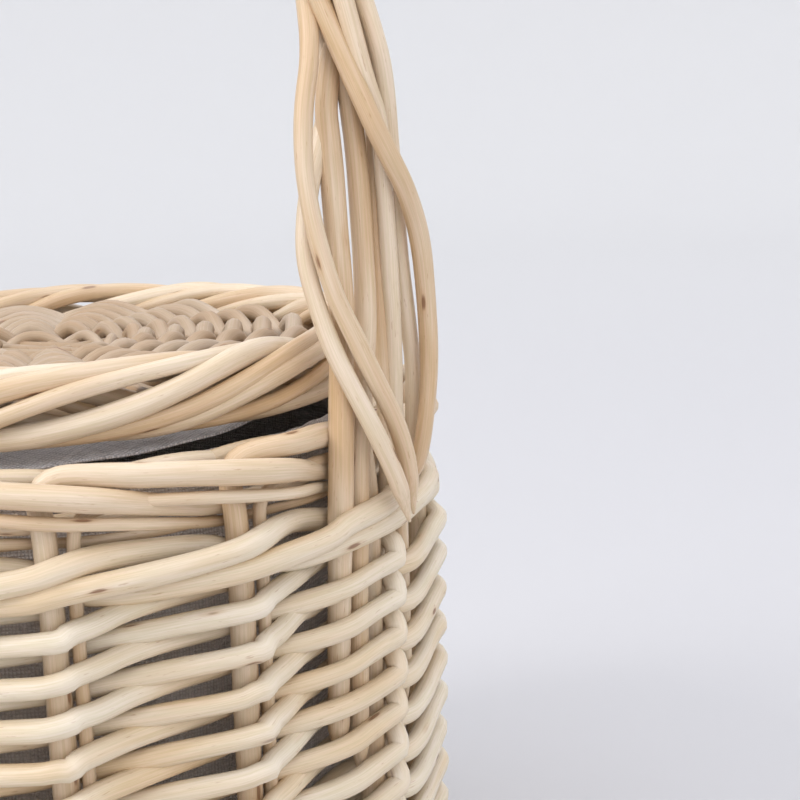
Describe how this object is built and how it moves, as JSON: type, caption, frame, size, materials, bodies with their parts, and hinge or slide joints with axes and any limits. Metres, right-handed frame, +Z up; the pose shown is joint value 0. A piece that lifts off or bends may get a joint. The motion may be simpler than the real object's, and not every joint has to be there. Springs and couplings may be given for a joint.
{
  "type": "lidded wicker basket",
  "caption": "Round buff willow basket with a hinged woven lid, a tall twisted hoop handle and a grey cloth liner.",
  "frame": {"origin": "centre of the foot ring, on the floor", "axes": "+Z up, -Y the front, +Y the hinge side, +X and -X the feet of the handle"},
  "size_m": [0.2558, 0.248, 0.4029],
  "materials": {
    "willow_stakes": "satin",
    "willow_weavers": "satin",
    "willow_border": "satin",
    "willow_handle": "satin",
    "willow_lid": "satin",
    "willow_base": "satin",
    "willow_hinge": "satin",
    "liner_cloth": "matte",
    "lining_cloth": "matte"
  },
  "bodies": {
    "basket": {"stake_01": "willow_stakes", "stake_02": "willow_stakes", "stake_03": "willow_stakes", "stake_04": "willow_stakes", "stake_05": "willow_stakes", "stake_06": "willow_stakes", "stake_07": "willow_stakes", "stake_08": "willow_stakes", "stake_09": "willow_stakes", "stake_10": "willow_stakes", "stake_11": "willow_stakes", "stake_12": "willow_stakes", "stake_13": "willow_stakes", "stake_14": "willow_stakes", "bye_stakes": "willow_stakes", "handle_bow_rod_1": "willow_handle", "handle_bow_rod_2": "willow_handle", "handle_bow_rod_3": "willow_handle", "handle_bow_rod_4": "willow_handle", "handle_wrap_rod_1": "willow_handle", "handle_wrap_rod_2": "willow_handle", "handle_wrap_rod_3": "willow_handle", "handle_wrap_rod_4": "willow_handle", "base_sticks_slit": "willow_base", "base_sticks_through": "willow_base", "base_weave": "willow_base", "upsett_wale": "willow_weavers", "side_weave": "willow_weavers", "top_wale": "willow_weavers", "rim_border": "willow_border", "liner": "liner_cloth", "liner_hem": "liner_cloth", "hinge_loop_left": "willow_hinge", "hinge_loop_right": "willow_hinge"},
    "lid": {"lid_edge_wale": "willow_lid", "lid_sticks_slit": "willow_lid", "lid_sticks_through": "willow_lid", "lid_weave": "willow_lid", "lid_lining": "lining_cloth"}
  },
  "joints": [
    {"name": "lid_hinge", "type": "hinge", "parent": "basket", "child": "lid", "pos_m": [0, 0.095, 0.188], "axis": [-1, 0, 0], "range_deg": [0, 100]}
  ]
}
